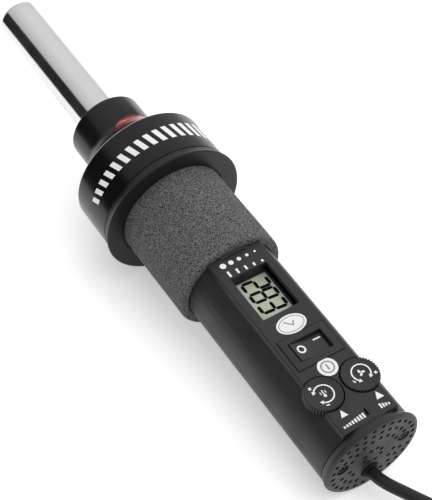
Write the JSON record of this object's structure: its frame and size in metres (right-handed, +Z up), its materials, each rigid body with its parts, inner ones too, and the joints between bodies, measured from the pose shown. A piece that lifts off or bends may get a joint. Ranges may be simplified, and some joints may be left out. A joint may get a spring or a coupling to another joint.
{
  "type": "hot air gun",
  "caption": "Hand-held hot air gun with a slim steel barrel, flanged fan collar, foam grip, display, rocker switch, thumbwheel controls and a coiled mains cord.",
  "frame": {"origin": "centre of the gun's own bounding box on the surface it lies on, without the free cord, its coil, tie and plug", "axes": "+X along the gun towards the nozzle, level with the table, +Y towards the heater thumbwheel, +Z up, out of the control panel; the gun itself lies tilted 5 degrees, nozzle raised, on the flange rim and the end cap"},
  "size_m": [0.4725, 0.1009, 0.0716],
  "materials": {
    "polished_steel": "mirror-polished stainless steel tube",
    "zinc_plate": "dull zinc-plated steel",
    "mica": "flaky mica sheet, stood in for by a matte finish",
    "ceramic": "unglazed ceramic",
    "resistance_wire": "heat-darkened resistance alloy wire",
    "gloss_black": "gloss black moulded plastic",
    "red_lens": "clear red moulded lens",
    "dark_plastic": "satin black moulded plastic",
    "handle_plastic": "fine-grained satin dark grey moulded plastic",
    "foam": "open-grained dark grey foam rubber",
    "display_glass": "pale green reflective liquid crystal display",
    "white_plastic": "white moulded plastic",
    "circuit_board": "green solder mask",
    "aluminium": "plain aluminium",
    "rocker_plastic": "semi-gloss black with white marks",
    "brass": "bright brass",
    "knob_plastic": "satin black thumbwheel with white marks",
    "lead_sleeve": "insulated lead",
    "glass_braid": "glass-fibre braided lead",
    "cord_rubber": "black rubber-sheathed mains cord",
    "tie_strap": "black woven hook-and-loop tie",
    "plug_rubber": "black moulded plug"
  },
  "bodies": {
    "gun": {"nozzle_tube": "polished_steel", "nozzle_clamp_ring": "zinc_plate", "mica_sleeve": "mica", "heater_former": "ceramic", "heater_coil": "resistance_wire", "heater_base_disc": "ceramic", "thermocouple_probe": "polished_steel", "front_housing": "gloss_black", "collar_back_plate": "gloss_black", "indicator_lens": "red_lens", "indicator_led": "red_lens", "blower_motor": "zinc_plate", "motor_mount": "dark_plastic", "handle_upper_shell": "handle_plastic", "handle_lower_shell": "handle_plastic", "foam_grip": "foam", "lcd_glass": "display_glass", "lcd_carrier": "white_plastic", "control_board": "circuit_board", "control_chip": "dark_plastic", "main_capacitor": "dark_plastic", "heater_triac": "dark_plastic", "triac_heat_sink": "aluminium", "switch_body": "dark_plastic", "switch_terminal_live": "brass", "switch_terminal_load": "brass", "air_potentiometer": "zinc_plate", "heater_potentiometer": "zinc_plate", "potentiometer_board": "circuit_board", "live_lead": "lead_sleeve", "neutral_lead": "lead_sleeve", "switched_lead": "lead_sleeve", "heater_lead_right": "glass_braid", "heater_lead_left": "glass_braid", "motor_lead_right": "lead_sleeve", "motor_lead_left": "lead_sleeve", "tail_cap": "handle_plastic", "tail_screw_right": "zinc_plate", "tail_screw_left": "zinc_plate", "strain_relief": "cord_rubber", "power_cord": "cord_rubber", "cord_coil": "cord_rubber", "cord_tie": "tie_strap", "power_cord_end": "cord_rubber", "plug_body": "plug_rubber", "plug_blade_right": "brass", "plug_blade_left": "brass"},
    "rocker": {"switch_rocker": "rocker_plastic"},
    "air_control": {"air_knob": "knob_plastic", "air_knob_shaft": "white_plastic"},
    "heater_control": {"heater_knob": "knob_plastic", "heater_knob_shaft": "white_plastic"},
    "blower_rotor": {"blower_impeller": "dark_plastic", "motor_shaft": "polished_steel"}
  },
  "joints": [
    {"name": "rocker_tilt", "type": "hinge", "parent": "gun", "child": "rocker", "pos_m": [-0.10659, 0, 0.04476], "axis": [-0.9962, 0, -0.0874], "range_deg": [0, 14]},
    {"name": "air_knob_turn", "type": "hinge", "parent": "gun", "child": "air_control", "pos_m": [-0.12862, -0.00924, 0.04293], "axis": [-0.0874, 0, 0.9962], "range_deg": [-150, 150]},
    {"name": "heater_knob_turn", "type": "hinge", "parent": "gun", "child": "heater_control", "pos_m": [-0.12862, 0.00924, 0.04293], "axis": [-0.0874, 0, 0.9962], "range_deg": [-150, 150]},
    {"name": "impeller_spin", "type": "hinge", "parent": "gun", "child": "blower_rotor", "pos_m": [0.01878, 0, 0.03678], "axis": [0.9962, 0, 0.0874], "continuous": true}
  ]
}
